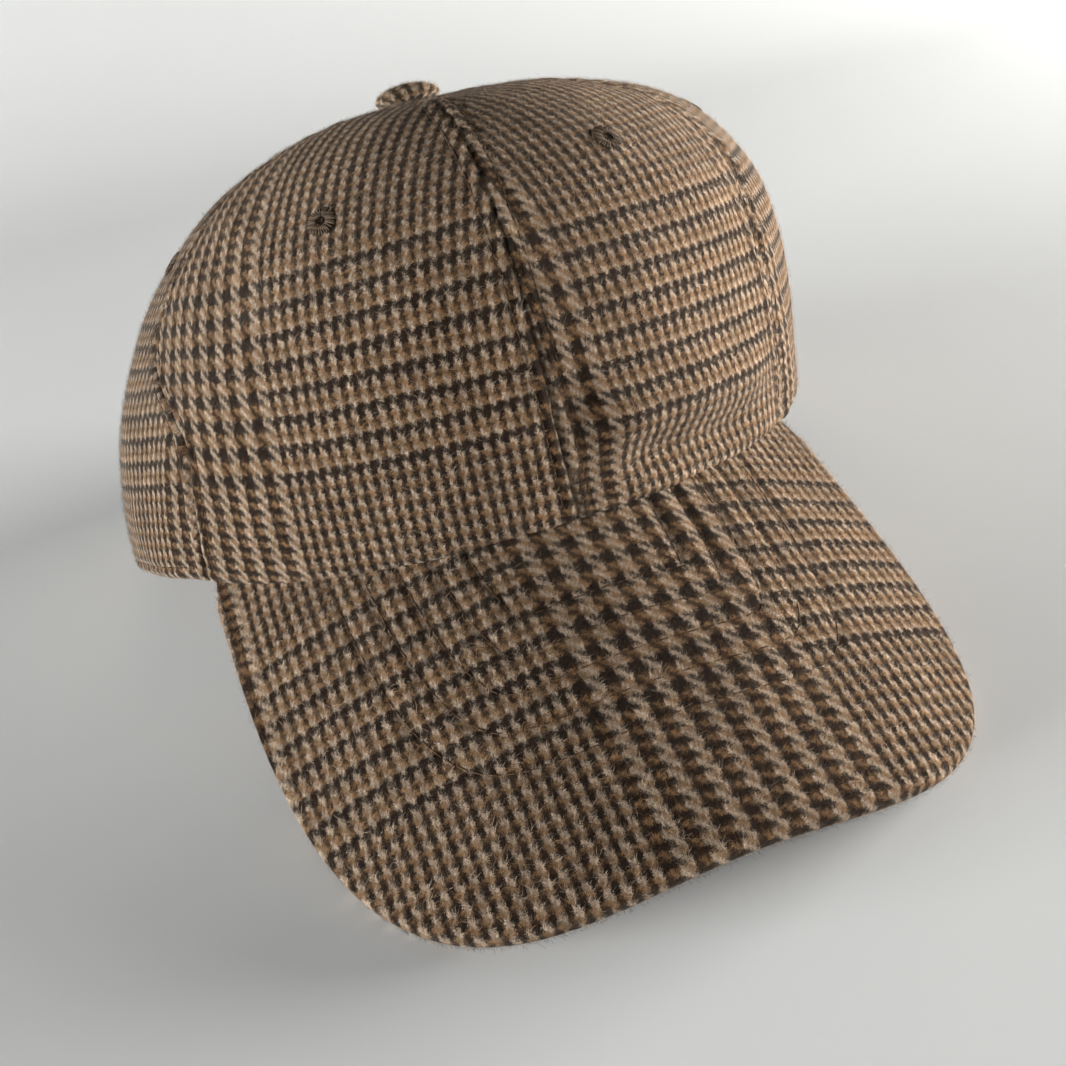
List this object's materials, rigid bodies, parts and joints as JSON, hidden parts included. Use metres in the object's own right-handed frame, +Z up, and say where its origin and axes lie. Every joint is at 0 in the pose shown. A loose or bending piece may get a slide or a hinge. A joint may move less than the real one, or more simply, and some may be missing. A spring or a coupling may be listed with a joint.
{
  "type": "wool baseball cap",
  "caption": "Soft wool cap with a panelled round crown in a brown glen check, a covered top button, sewn eyelets and a stiff curved peak with rows of stitching.",
  "frame": {"origin": "on the table, under the middle of the cap's outline", "axes": "+Z up, the peak points to -Y, +X is the wearer's left"},
  "size_m": [0.1854, 0.245, 0.1121],
  "materials": {
    "check_wool": "napped twill wool in a brown, tan and cream glen check",
    "peak_wool": "the same wool over a stiff board, quilted by rows of thread",
    "eyelet_thread": "brown-grey sewn thread, slightly glossy"
  },
  "bodies": {
    "root": {"front_panel_left": "check_wool", "front_panel_right": "check_wool", "side_panel_left": "check_wool", "side_panel_right": "check_wool", "back_panel_left": "check_wool", "back_panel_right": "check_wool", "peak": "peak_wool", "top_button": "check_wool", "eyelet_front_left": "eyelet_thread", "eyelet_front_right": "eyelet_thread", "eyelet_side_left": "eyelet_thread", "eyelet_side_right": "eyelet_thread", "eyelet_back_left": "eyelet_thread", "eyelet_back_right": "eyelet_thread"}
  },
  "joints": []
}
